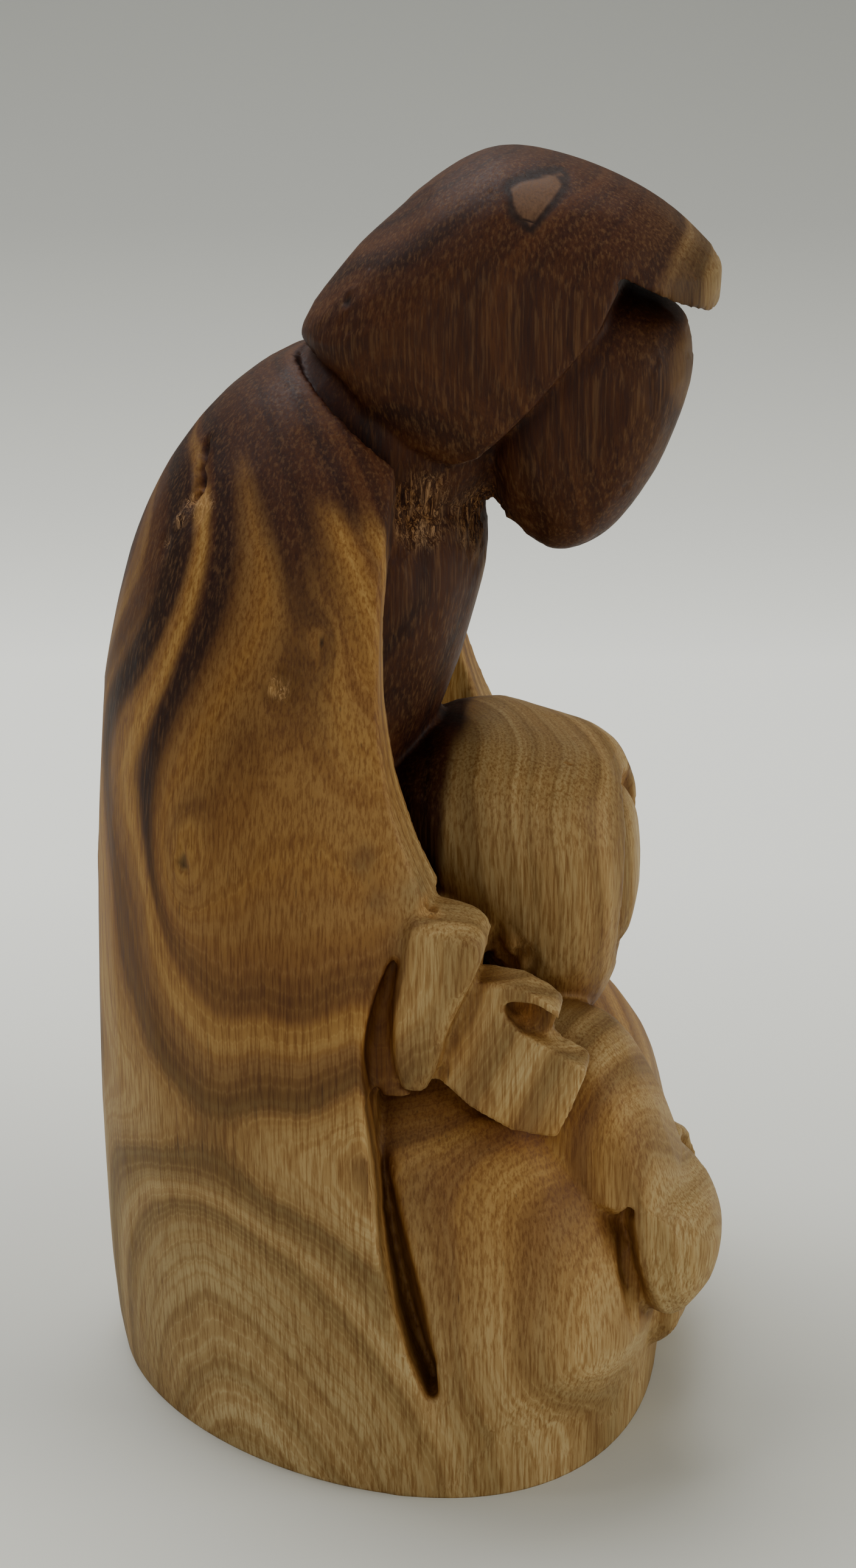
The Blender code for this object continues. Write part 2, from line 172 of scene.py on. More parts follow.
# Her left arm is held back and lower than her right, round the child's head.
LEFT_SLEEVE_SHIFT = (6.5, 11)
CUFF = [
    (4.6, 72.2), (8.0, 72.4), (11.8, 71.2), (13.0, 69.2), (12.2, 66.2), (10.4, 62.2), (8.8, 58.2),
    (7.6, 54.0), (5.7, 50.7), (3.7, 52.0), (2.8, 56.2), (2.8, 61.6), (3.5, 67.2),
]
FOREARM = [(-4, 49.2), (-4, 66), (5, 66.5), (11, 63), (10.5, 58), (9.4, 52.6), (5, 49.6)]
PALM = [(8, 51), (9, 59), (14, 59.5), (18.4, 56.5), (21.6, 52.5), (20.4, 46.2), (13, 47.5)]
HAND = [
    (10.0, 64.0), (13.0, 64.4), (17.0, 63.9), (20.0, 62.2), (21.9, 60.0), (24.4, 54.3),
    (22.8, 49.9), (20.9, 45.4), (15.5, 45.6), (11.3, 48.2), (8.0, 51.3),
]
# The notch between the thumb and the fingers, and its open end in front of the thumb.
THUMB_NOTCH = [
    (15.0, 62.0), (16.9, 62.1), (19.0, 61.7), (21.5, 60.0), (27.0, 60.0), (27.0, 53.0),
    (24.3, 54.4), (19.6, 57.1), (17.4, 58.3), (15.2, 60.2),
]
THUMB_GAP = [(19.9, 57.2), (21.0, 60.3), (22.0, 62.2), (28.0, 62.0), (28.0, 52.6), (24.3, 54.7)]
# The slot between sleeve and skirt: up, skirt side, sleeve side deep down, sleeve side outside.
SLEEVE_SLOT = [
    (35.6, 29.6, 29.7, 30.2),
    (32.8, 27.5, 28.6, 30.6),
    (29.6, 27.6, 29.0, 31.0),
    (25.6, 27.9, 29.6, 32.4),
    (22.4, 28.6, 30.6, 34.0),
    (19.8, 29.1, 32.0, 36.2),
    (17.6, 29.6, 35.0, 41.0),
    (16.0, 30.1, 36.0, 41.0),
    (14.6, 31.0, 36.0, 41.0),
]
# The groove between cloak and skirt: up, cloak side, skirt side deep down, skirt side outside.
GROOVE = [
    (50.5, -0.1, 0.6, 5.4),
    (44.0, 0.4, 1.2, 6.8),
    (38.0, 1.0, 1.8, 8.4),
    (31.0, 1.9, 2.7, 10.2),
    (24.6, 3.2, 4.0, 11.4),
    (18.5, 4.8, 5.5, 11.4),
    (13.0, 7.0, 7.3, 9.0),
]
# The shallow recess above it, between cloak and cuff.
RECESS = [
    (69.0, 3.6, 3.8, 4.0),
    (63.0, 1.2, 2.9, 3.1),
    (58.0, 0.1, 2.8, 3.0),
    (53.5, -0.2, 3.0, 3.2),
    (48.8, 0.7, 2.9, 3.3),
]
# The hollow under the hand, up to the hand: forward, upper side, lower side outside and inside.
UNDER_HAND = [
    (2.6, 51.4, 50.6, 51.2),
    (5.0, 52.0, 48.4, 50.8),
    (8.0, 52.0, 44.8, 49.4),
    (11.3, 49.0, 41.6, 46.8),
    (16.0, 46.4, 40.4, 44.8),
    (21.2, 45.8, 42.4, 45.0),
]

# The child's wrapped body, from its feet to its neck: along, f, l, u, half height, half width.
CHILD_BODY = [
    (0, 28.0, -15, 12.0, 5.4, 6.0),
    (0.5, 29.0, -4, 14.8, 7.4, 7.2),
    (1, 28.8, 8, 17.6, 7.0, 6.8),
]


def at(forward, left, up):
    """A place on the carving: forward is the way the group looks, left is the man's left."""
    return Vector((left, -forward, up)) * UNIT


def between(rows, key, column=1):
    """A smooth curve through rows that are sorted by their first number, read at key."""
    keys = [row[0] for row in rows]
    values = [row[column] for row in rows]
    key = min(max(key, keys[0]), keys[-1])
    last = len(rows) - 1
    i = max(k for k in range(last) if keys[k] <= key)

    def slope(k):
        low, high = max(k - 1, 0), min(k + 1, last)
        return (values[high] - values[low]) / (keys[high] - keys[low])

    span = keys[i + 1] - keys[i]
    s = (key - keys[i]) / span
    rise = values[i + 1] - values[i]
    start, end = slope(i) * span, slope(i + 1) * span
    return (
        values[i] + s * start + s * s * (3 * rise - 2 * start - end)
        + s * s * s * (start + end - 2 * rise)
    )


def around(points, turn):
    """A closed smooth line through points, read at turn from 0 to 1."""
    count = len(points)
    place = (turn % 1) * count
    i = int(place)
    s = place - i
    a, b, c, d = (points[(i + k) % count] for k in (-1, 0, 1, 2))
    return tuple(
        0.5 * (2 * q + s * (r - p) + s * s * (2 * p - 5 * q + 4 * r - v)
               + s * s * s * (3 * q - p - 3 * r + v))
        for p, q, r, v in zip(a, b, c, d)
    )


def power(value, exponent):
    """A power of the value's size, which keeps its sign."""
    return math.copysign(abs(value) ** exponent, value)


def piece(name, mesh):
    """An object of this name from a bmesh, with its faces pointing out."""
    bmesh.ops.recalc_face_normals(mesh, faces=mesh.faces)
    data = bpy.data.meshes.new(name)
    mesh.to_mesh(data)
    mesh.free()
    made = bpy.data.objects.new(name, data)
    bpy.context.scene.collection.objects.link(made)
    return made


def skin(name, place, columns, rows):
    """A closed body: a grid wrapped round, where place(turn, along) gives each point."""
    mesh = bmesh.new()
    bmesh.ops.create_grid(mesh, x_segments=columns, y_segments=rows, size=0.5)
    for vert in mesh.verts:
        vert.co = place(round(vert.co.x + 0.5, 6), round(vert.co.y + 0.5, 6))
    bmesh.ops.remove_doubles(mesh, verts=mesh.verts, dist=0.002 * UNIT)
    bmesh.ops.holes_fill(mesh, edges=[edge for edge in mesh.edges if edge.is_boundary])
    return piece(name, mesh)


def pillow(name, outline, low, high, boxy, narrowing=0.0):
    """A body with this outline seen from the side, rounded off towards left = low and high.

    Its lowest point is narrower than its highest one by the share that narrowing gives.
    """
    count = len(outline)
    middle = [sum(point[k] for point in outline) / count for k in (0, 1)]
    top, bottom = max(point[1] for point in outline), min(point[1] for point in outline)

    def place(turn, along):
        angle = (along - 0.5) * math.pi * 0.995
        left = (low + high) / 2 + (high - low) / 2 * power(math.sin(angle), 2 / boxy)
        share = abs(math.cos(angle)) ** (2 / boxy)
        f, u = (m + (p - m) * share for m, p in zip(middle, around(outline, turn)))
        depth = min(max((top - u) / (top - bottom), 0), 1)
        return at(f, left * (1 - narrowing * depth * depth), u)

    return skin(name, place, 64, 28)


def prism(name, low_outline, low, high_outline, high, bevel=0.0):
    """A flat-sided body between an outline at left = low and one at left = high."""
    mesh = bmesh.new()
    ends = []
    for outline, left in ((low_outline, low), (high_outline, high)):
        ends.append([mesh.verts.new(at(f, left, u)) for f, u in outline])
    caps = [mesh.faces.new(end) for end in ends]
    count = len(ends[0])
    for k in range(count):
        after = (k + 1) % count
        mesh.faces.new((ends[0][k], ends[0][after], ends[1][after], ends[1][k]))
    bmesh.ops.recalc_face_normals(mesh, faces=mesh.faces)
    if bevel:
        rims = {edge for cap in caps for edge in cap.edges}
        bmesh.ops.bevel(mesh, geom=list(rims), offset=bevel * UNIT, segments=2, profile=0.6)
    return piece(name, mesh)


def slab(name, outline, low, high, bevel=0.0):
    """A flat-sided body with this outline seen from the side, from left = low to high."""
    return prism(name, outline, low, outline, high, bevel)


def ball(name, centre, reach, boxy=2.0):
    """An ellipsoid, or with boxy over 2 a softly squared one."""

    def place(turn, along):
        sweep, rise = turn * math.tau, (along - 0.5) * math.pi
        ring = abs(math.cos(rise)) ** (2 / boxy)
        return at(
            centre[0] + reach[0] * ring * power(math.cos(sweep), 2 / boxy),
            centre[1] + reach[1] * ring * power(math.sin(sweep), 2 / boxy),
            centre[2] + reach[2] * power(math.sin(rise), 2 / boxy),
        )

    return skin(name, place, 48, 24)


def limb(name, path, across=(0, 1, 0)):
    """A rod with round ends. A row of path is along, forward, left, up, half height, half width.

    Its width lies along across, which is given as forward, left and up.
    """

    def centre(along):
        return Vector([between(path, along, k) for k in (1, 2, 3)])

    def place(turn, along):
        tip = min(along, 1 - along) / 0.12
        swell = math.sqrt(max(1 - (1 - min(tip, 1)) ** 2, 0.0004))
        ahead = (centre(min(along + 0.01, 1)) - centre(max(along - 0.01, 0))).normalized()
        tall = ahead.cross(Vector(across)).normalized()
        wide = tall.cross(ahead)
        angle = turn * math.tau
        spot = (
            centre(along)
            + tall * between(path, along, 4) * swell * math.sin(angle)
            + wide * between(path, along, 5) * swell * math.cos(angle)
        )
        return at(*spot)

    return skin(name, place, 32, 40)


def cloak():
    """The man's cloak: a bell that is open in front, with a sharp edge down each side."""
    low, high = CLOAK[0][0], CLOAK[-1][0]
    # The share of each turn that runs straight across the open front.
    straight = 0.25

    def place(turn, along):
        lower = along <= 0.5
        start, span = (low, CUFF_TIP - low) if lower else (CUFF_TIP, high - CUFF_TIP)
        up = start + span * (along * 2 - (0 if lower else 1))
        edge = between(EDGE_BELOW_TIP if lower else EDGE_ABOVE_TIP, up)
        back, side, middle = (between(CLOAK, up, column) for column in (1, 2, 3))
        front = CLOAK_FRONT * side / CLOAK_SIDE
        share = min(max((edge - middle) / front, 0), 0.98)
        corner = math.acos(share)
        if turn > 1 - straight:
            across = (turn - 1 + straight) / straight
            return at(middle + front * share, side * math.sin(corner) * (2 * across - 1), up)
        angle = corner + (math.tau - 2 * corner) * turn / (1 - straight)
        behind = math.cos(angle) < 0
        exponent = 2 / between(ROUNDNESS, up) if behind else 1
        reach = middle - back if behind else front
        f = middle + reach * power(math.cos(angle), exponent)
        return at(f, side * power(math.sin(angle), exponent), up)

    return skin("cloak", place, 120, 96)


def lap():
    """The woman's lap and skirt, down to the foot."""
    low, high = LAP[0][0], LAP[-1][0]

    def place(turn, along):
        up = low + (high - low) * along
        front, side, square = (between(LAP, up, column) for column in (1, 2, 3))
        angle = turn * math.tau
        reach = front - LAP_MIDDLE if math.cos(angle) > 0 else LAP_MIDDLE - LAP_BACK
        f = LAP_MIDDLE + reach * power(math.cos(angle), 2 / square)
        return at(f, side * power(math.sin(angle), 2 / square), up)

    return skin("lap", place, 80, 48)


def chest():
    """The man's chest, which fills the opening of his cloak."""
    low, high = CHEST[0][0], CHEST[-1][0]

    def place(turn, along):
        up = low + (high - low) * along
        front, side = between(CHEST, up, 1), between(CHEST, up, 2)
        angle = turn * math.tau
        middle, reach = (front + CHEST_BACK) / 2, (front - CHEST_BACK) / 2
        return at(middle + reach * math.cos(angle), side * math.sin(angle), up)

    return skin("chest", place, 64, 40)


def settled(made):
    """The object with what its modifiers do made part of its mesh."""
    graph = bpy.context.evaluated_depsgraph_get()
    mesh = bpy.data.meshes.new_from_object(made.evaluated_get(graph))
    made.modifiers.clear()
    made.data = mesh
    return made


def cut(made, cutters):
    """The object with these taken out of it, one after the other."""
    for cutter in cutters:
        boolean = made.modifiers.new(cutter.name, "BOOLEAN")
        boolean.operation = "DIFFERENCE"
        boolean.object = cutter
        settled(made)
        bpy.data.objects.remove(cutter)
    return made


def joined(name, pieces):
    """The pieces as one object, still overlapping."""
    mesh = bmesh.new()
    for each in pieces:
        mesh.from_mesh(each.data)
        bpy.data.objects.remove(each)
    return piece(name, mesh)


def remeshed(made):
    """The object fused to one skin at the carving's grain."""
    modifier = made.modifiers.new("fuse", "REMESH")
    modifier.mode = "VOXEL"
    modifier.voxel_size = GRAIN * UNIT
    return settled(made)


def veiled_head():
    """The woman's head: a smooth, blank oval set back in the front of her veil."""
    veil = pillow("veil", VEIL, -15.5, 15.5, 2.9)
    cut(veil, [ball("face_recess", (28.4, 0, 66), (6.4, 8.9, 12.6), 2.4)])
    return [veil, ball("veiled_face", (16.6, 0, 65.8), (10.8, 8.0, 11.6), 3.0)]


def swaddled_child():
    """The child: a wrapped body across the lap, and a blank face in a round hood."""
    hood = ball("child_hood", (29.4, 9.0, 19.4), (7.6, 7.6, 8.0))
    cut(hood, [ball("child_recess", (35.4, 8.4, 20.8), (4.4, 5.4, 5.6))])
    body = limb("child_body", CHILD_BODY, across=(1, 0, 0))
    return [hood, body, ball("child_face", (28.8, 8.6, 19.8), (5.0, 5.6, 5.8))]


def swaddling():
    """The turns of cloth round the child, as thin cuts round the front of its body."""
    turns = []
    for along in (0.44, 0.58, 0.72):
        f, left, up, reach = (between(CHILD_BODY, along, column) for column in (1, 2, 3, 4))
        rows = []
        for k in range(6):
            angle = math.radians(-75 + 34 * k)
            spot = (f + reach * math.cos(angle), left + 0.7 * k, up + reach * math.sin(angle))
            rows.append((k / 5, *spot, 0.7, 0.5))
        turns.append(limb("swaddling_turn", rows))
    return turns


def figures():
    """Every mass of the group, still overlapping."""
    collar = ball("collar", (5, 0, 124), (18.3, 18.3, 18.3))
    front_hollow = ball("front_hollow", (12, 0, 87), (19, 26, 24), 4)
    hood = cut(pillow("hood", HOOD, -17, 17, 2.5), [slab("hood_opening", HOOD_OPENING, -20, 20)])
    neck = [(0, -12, 0, 106, 14, 14), (0.5, -2, 0, 118, 13.6, 13.6), (1, 9, 0, 128, 11, 11)]
    masses = [
        cut(cloak(), [collar, front_hollow]),
        hood,
        lap(),
        chest(),
        pillow("face", FACE, -13, 13, 2.8, narrowing=0.2),
        limb("neck", neck),
    ]
    masses += veiled_head() + swaddled_child()
    for side in (-1, 1):
        back, down = LEFT_SLEEVE_SHIFT if side > 0 else (0, 0)
        sleeve = [(f - back, u - down) for f, u in SHOULDER_AND_SLEEVE]
        masses += [
            pillow("sleeve", sleeve, *sorted((side * 6, side * 27.5)), 2.6),
            pillow("cuff", CUFF, *sorted((side * 27, side * 36.8)), 6.0),
            slab("forearm", FOREARM, side * 14, side * 32.8),
            slab("palm", PALM, side * 24, side * 30.2),
            cut(slab("hand", HAND, side * 28, side * 33.4, 0.8), [
                slab("thumb_notch", THUMB_NOTCH, side * 30.4, side * 40),
                slab("thumb_gap", THUMB_GAP, side * 20, side * 41),
            ]),
        ]
    return masses


def wedge(name, rows, deep_left, outside_left):
    """A cutter that is narrow deep down and wide outside, from rows like those of GROOVE."""
    near_side = [(row[1], row[0]) for row in rows]
    deep, outside = ([(row[k], row[0]) for row in reversed(rows)] for k in (2, 3))
    return prism(name, near_side + deep, deep_left, near_side + outside, outside_left)


def under_hand(side):
    """The hollow under the hand, which leaves it standing proud of the skirt."""
    upper = [(row[0], row[1]) for row in UNDER_HAND]
    outside, inside = ([(row[0], row[k]) for row in reversed(UNDER_HAND)] for k in (2, 3))
    return prism("under_hand", upper + inside, side * 25, upper + outside, side * 40)


def hollows():
    """What is cut out of the fused group."""
    brow = [(24.0, 138.9), (33.4, 134.0), (33.4, 132.4), (24.4, 137.2)]
    made = [slab("brow_slit", brow, -20, 20), wedge("sleeve_slot", SLEEVE_SLOT, -24.5, -30)]
    for side in (-1, 1):
        made.append(wedge("groove", GROOVE, side * 31, side * 44))
        made.append(wedge("recess", RECESS, side * 34.4, side * 43))
        made.append(under_hand(side))
    return made + swaddling()


def carving():
    """The whole group as one closed piece of wood on a flat foot."""
    group = remeshed(joined("holy_family_carving", figures()))
    cut(group, hollows())
    remeshed(group)
    soften = group.modifiers.new("soften", "SMOOTH")
    soften.factor = 0.5
    soften.iterations = SOFTENING
    settled(group)
    facet = group.modifiers.new("facet", "DECIMATE")
    facet.ratio = FACETS / (2 * len(group.data.polygons))
    settled(group)
    mesh = bmesh.new()
    mesh.from_mesh(group.data)
    everything = mesh.verts[:] + mesh.edges[:] + mesh.faces[:]
    bmesh.ops.bisect_plane(
        mesh, geom=everything, plane_co=(0, 0, 0), plane_no=(0, 0, 1), clear_inner=True
    )
    bmesh.ops.holes_fill(mesh, edges=[edge for edge in mesh.edges if edge.is_boundary])
    bmesh.ops.triangulate(mesh, faces=mesh.faces)
    bmesh.ops.recalc_face_normals(mesh, faces=mesh.faces)
    mesh.to_mesh(group.data)
    mesh.free()
    return group


# The pith, the middle of the branch's growth rings: up, forward, left. It wanders, which is what
# lays nested U shapes on the middle of the cloak and nested arches on its foot.
PITH = [
    (-5, -7, -17),
    (8, -6.5, -15),
    (20, -6, -12),
    (30, -5, -9),
    (38, -3.5, -5.5),
    (44, -3, -5),
    (50, -3, -7),
    (65, -2.5, -11),
    (85, -4, -10),
    (110, 3, -5),
    (130, 4, 0),
    (155, 4, 0),
]
# How the rings wave in and out: how far, over what distance forward, left and up, and the seed.
WAVES = [(1.5, (19, 19, 52), 1), (0.5, (9, 9, 30), 2)]

# Knots, where the rings bend round a small branch: forward, left, up, reach, lift.
KNOTS = [
    (-21.6, -29.4, 75.1, 4.2, -2.4),
    (-5.7, -28.4, 101.3, 2.2, 1.2),
    (-5.1, -11.9, 134.9, 3.0, 2.0),
    (-24.5, -30, 14.0, 3.0, 1.5),
    (-9.0, 37, 58.0, 4.5, -2.2),
    (-33.0, 14, 84.0, 3.6, 2.0),
]
# How tall they are for their width, how high the rim stands, how deep the pit goes, and the
# share of the reach that is dark.
KNOT_TALL = 1.6
KNOT_RIM = 0.18
KNOT_PIT = 0.35
KNOT_EYE = 0.3

# The heartwood takes over between these heights. Its edge runs up and down in long streaks and
# small patches, and comes lower towards the back.
HEART_FROM = 82
HEART_FULL = 132
STREAKS = 40
PATCHES = 4
HEART_LEAN = 0.8

# The crack in the man's right shoulder, from its top to its foot: forward, left, up.
CRACK = [
    (-21.4, -12.3, 118.3),
    (-21.7, -13.3, 117.2),
    (-22.0, -14.6, 115.7),
    (-21.5, -16.0, 114.7),
    (-22.3, -16.2, 113.6),
]
# Half its width and its depth, and the chip that has gone beside it: forward, left, up, reach.
CRACK_WIDE = 0.6
CRACK_DEEP = 1.5
CHIP = (-21.8, -15.4, 115.2, 1.0)
CHIP_DEEP = 1.0

# Torn wood, where the gouge lifted the fibres: forward, left, up, reach.
TORN = [
    (-22.6, -16.2, 113.0, 1.5),
    (-20.6, -18.0, 112.8, 2.2),
    (-23.6, -16.6, 110.9, 1.3),
    (-25.2, -16.7, 108.4, 1.0),
    (-10.2, -29.9, 96.2, 1.6),
    (12.4, -12.7, 57.1, 2.8),
    (14.0, -14.5, 60.0, 3.2),
    (10.5, -30.0, 67.5, 2.6),
    (17.0, -30.5, 60.0, 2.0),
    (21.5, -27.0, 55.5, 2.6),
    (3.0, -13.0, 112.0, 5.0),
    (7.5, -4.0, 110.0, 6.0),
    (6.8, -33.5, 73.0, 2.0),
    (14.0, 14.5, 60.0, 4.0),
    (21.5, 27.0, 55.5, 3.4),
]
# How rough it is, and how deep it lies.
TORN_ROUGH = 0.9
TORN_DEEP = 0.3

# Grey smudges where the wood has weathered: forward, left, up, reach.
SMUDGES = [
    (-0.3, -34.5, 78.5, 1.5),
    (1.2, -34.5, 74.0, 1.4),
    (4.6, -33.0, 74.6, 1.6),
]

# The pale, kite-shaped knot on the right side of the hood, as forward and up.
KITE = [(12.2, 147.6), (14.2, 148.4), (17.6, 148.6), (17.9, 147.2), (14.9, 143.4), (12.8, 145.4)]
# It lies further right than this. Its depth is told up to this far, and a fine line runs round it.
KITE_SIDE = -4
KITE_FAR = 9.0
KITE_LINE_WIDE = 0.35
KITE_LINE_DEEP = 0.12

# The flats of the tools: how far apart, how flat, how far one may move the surface, and how
# alike two places have to face to share one.
FLAT = 7.5
FLATTENING = 0.5
MOST_FLAT = 0.25
SAME_WAY = 0.9

# The relief fades out between these heights, so that the foot stays flat.
FOOT_FLAT = 0.3
FOOT_FREE = 1.2

# How shut in a place is, is felt with this many rays of this reach. Each ray turns on from the
# last by the golden angle, which spreads them evenly.
HOLLOW_RAYS = 18
HOLLOW_REACH = 10
GOLDEN_ANGLE = 2.39996

# The wood's colours from the dark to the pale side of a growth band: straw low down and in
# front, gold higher up, and the heartwood.
STRAW = [
    (0.20, "#7b6a44"), (0.40, "#958259"), (0.50, "#a69369"), (0.60, "#b3a177"), (0.80, "#b9a980"),
]
GOLD = [
    (0.20, "#6a4d27"), (0.40, "#86653a"), (0.50, "#957440"), (0.60, "#a1814a"), (0.80, "#a78850"),
]
HEARTWOOD = [
    (0.20, "#281205"), (0.40, "#351a08"), (0.50, "#40220c"), (0.60, "#4b2b11"), (0.80, "#533116"),
]
# The strong rings of a few hard years, over this span of the distance from the pith.
STRONG_FROM = 19.0
STRONG_TO = 33.0
STRONG_RINGS = [
    (0.0, "#bcbcbc"), (0.16, "#c6c6c6"), (0.29, "#a6a6a6"), (0.41, "#c6c6c6"), (0.47, "#a4a4a4"),
    (0.51, "#989898"), (0.56, "#b0b0b0"), (0.62, "#c8c8c8"), (0.68, "#a8a8a8"), (0.72, "#989898"),
    (0.77, "#b0b0b0"), (0.84, "#c4c4c4"), (1.0, "#bcbcbc"),
]
RING_LINES = [
    (0.0, "#d8c7b2"), (0.42, "#efe6da"), (0.5, "#ffffff"), (0.58, "#f5ede2"), (1.0, "#dccdba"),
]
FIBRES = [(0.0, "#8a6e53"), (0.40, "#d6c3aa"), (0.56, "#ffffff"), (1.0, "#fffaf2")]
LIGHT_FIBRE = "#6d5032"
PORE = "#2c170a"
CLOUDS = [(0.25, "#e6d9c6"), (0.75, "#fffcf6")]
TORN_WOOD = [(0.3, "#4e3018"), (0.5, "#96703f"), (0.7, "#c9a56c")]
TORN_HEART = [(0.40, "#1a0e07"), (0.50, "#432815"), (0.60, "#ab865f")]
CRACK_DARK = "#140904"
# Painted shade: the hollows are darkened by this much, the more shut in they are.
PAINTED_HOLLOW_SHADE = [(0.10, "#ffffff"), (0.24, "#e6d4b6"), (0.42, "#c8aa80"), (0.75, "#ac8a60")]
SMUDGE_GREY = "#3c3428"
KITE_WOOD = [(0.3, "#4c3524"), (0.6, "#604530")]
KITE_EDGE = "#160a05"

# The wood's patterns, per millimetre on a carving 150 mm tall: growth bands about 2.4 and
# 0.7 mm apart, fibres 0.3 mm wide, light fibres 0.4 mm, splinters 0.5 mm, pores 0.9 mm apart in
# drifts of 7 mm, a ripple of the rings over 0.6 mm, and clouds of tone 20 mm across.
BROAD_BANDS = 0.42
FINE_BANDS = 1.5
FIBRE = 3.4
LIGHT = 2.6
SPLINTER = 2.2
PORES = 1.1
DRIFTS = 0.14
RIPPLE = 1.6
CLOUD = 0.05
# Up the grain they change at this share of the pace, which draws them out.
GRAIN_RUN = (1, 1, 0.06)
LIGHT_RUN = (1, 1, 0.03)

# Settings of the nodes that bring a value smoothly to another span, or lay colours together.
SMOOTH = {"interpolation_type": "SMOOTHSTEP"}
COVER = {"data_type": "RGBA"}
TINT = {"data_type": "RGBA", "blend_type": "MULTIPLY"}

# The camera, in metres, and its lens and upright sensor in millimetres.
CAMERA_AT = Vector((-0.316386, -0.046365, 0.191287))
CAMERA_TO = Vector((0, -0.0019, 0.075))
SENSOR = 36
LENS = 65.1

# Painted light and shade on the paper: its tones along the way that the camera looks, in metres
# from the carving.
PAPER_FROM = -0.06
PAPER_TO = 0.66
PAPER_PAINTED_LIGHT = [
    (0.0, "#dadacf"), (0.06, "#c4c4ba"), (0.14, "#dcdcd2"), (0.30, "#f6f6ec"), (0.48, "#f6f6ec"),
    (0.62, "#cbcbc2"), (0.78, "#999992"), (1.0, "#70716b"),
]

# The sheet of paper, in metres, and the steps of its bend.
SWEEP_NEAR = 1.2
SWEEP_FAR = 0.30
SWEEP_BEND = 0.35
SWEEP_TOP = 1.4
SWEEP_WIDE = 1.6
SWEEP_STEPS = 24

# The soft boxes: name, place, what it shines at, width, height, watts and tint.
LAMPS = [
    ("light_behind", (0.30, 0.25, 0.85), (0.05, 0, 0), 0.9, 0.7, 11, "#fbfcff"),
    ("light_right", (-0.15, -0.85, 0.35), (0, 0, 0.04), 0.6, 0.5, 4.4, "#fbfaf3"),
    ("light_front", (-0.9, 0.10, 0.30), (0, 0, 0.06), 0.9, 0.5, 2.5, "#fff9f0"),
]
ROOM = "#c3c6c6"
ROOM_STRENGTH = 0.33


def noisy(spots, stretch, seed):
    """Smooth noise from -1 to 1 at each spot; stretch is how far it takes to change each way."""
    scaled = spots / np.array(stretch) + seed * 7.31
    return np.array([noise.noise(spot) for spot in scaled])


def places(mesh):
    """Every point of a mesh as forward, left and up in 150ths."""
    spots = np.empty(len(mesh.vertices) * 3)
    mesh.vertices.foreach_get("co", spots)
    spots = spots.reshape(-1, 3) / UNIT
    return np.stack([-spots[:, 1], spots[:, 0], spots[:, 2]], axis=1)


def smooth_step(low, high, values):
    """From 0 at low to 1 at high, easing in and out."""
    share = np.clip((values - low) / (high - low), 0, 1)
    return share * share * (3 - 2 * share)


def curve(rows, keys, column):
    """The smooth curve through rows, read at many keys."""
    low, high = rows[0][0], rows[-1][0]
    steps = np.linspace(low, high, 400)
    return np.interp(keys, steps, [between(rows, step, column) for step in steps])


def bump(distance, reach):
    """From 1 at no distance to 0 well past this reach."""
    return np.exp(-(distance / reach) ** 2)


def near(spots, places_and_reach):
    """From 1 at any of the places to 0 well past its reach."""
    share = np.zeros(len(spots))
    for *centre, reach in places_and_reach:
        distance = np.linalg.norm(spots - np.array(centre), axis=1)
        share = np.maximum(share, bump(distance, reach))
    return share


def cracked(spots):
    """From 1 in the ragged line of the crack to 0 beside it."""
    ragged = spots + 0.5 * noisy(spots, (1.2, 1.2, 1.2), 8)[:, None]
    nearest = np.full(len(spots), np.inf)
    for start, end in zip(CRACK, CRACK[1:]):
        start, end = np.array(start), np.array(end)
        run = end - start
        share = np.clip((ragged - start) @ run / (run @ run), 0, 1)
        nearest = np.minimum(nearest, np.linalg.norm(ragged - start - share[:, None] * run, axis=1))
    return bump(nearest, CRACK_WIDE)


def growth(spots):
    """The distance from the pith, with the waves and knots that the rings have."""
    forward, left = (curve(PITH, spots[:, 2], column) for column in (1, 2))
    radius = np.hypot(spots[:, 0] - forward, spots[:, 1] - left)
    for far, stretch, seed in WAVES:
        radius += far * noisy(spots, stretch, seed)
    for *centre, reach, lift in KNOTS:
        offset = (spots - np.array(centre)) / (reach, reach, reach * KNOT_TALL)
        radius += lift * np.exp(-(offset ** 2).sum(axis=1))
    return radius


def heartwood(spots, radius):
    """How far the wood is dark: heartwood all round at the top, and lower down, between the cloak's
    edges on the chest and the back of the veil, heartwood with painted shade.
    """
    forward, left, up = spots.T
    streaks = np.array([noise.noise((r * 0.62, u * 0.010, 4.0)) for r, u in zip(radius, up)])
    height = up + STREAKS * streaks + PATCHES * noisy(spots, (5, 5, 30), 3)
    height -= HEART_LEAN * (forward + 10)
    top = smooth_step(HEART_FROM, HEART_FULL, height)
    # Partly painted shade: the chest and the back of the veil between the cloak's edges are made
    # dark, as heartwood near the pith and as the shade of that recess.
    inside = 1 - smooth_step(3.5, 6.5, forward - 0.12 * (up - 70) + streaks)
    for low, high, values in ((50, 64, up), (25, 20, np.abs(left)), (-17, -9, forward)):
        inside *= smooth_step(low, high, values)
    head = smooth_step(114, 121, up + np.maximum(forward, 0))
    share = np.maximum(np.maximum(top, inside), head)
    paler_front = 0.28 * smooth_step(18, 34, forward)
    pale_brim = 0.30 * smooth_step(28, 36, forward) * smooth_step(130, 136, up)
    return share * (1 - paler_front - pale_brim)


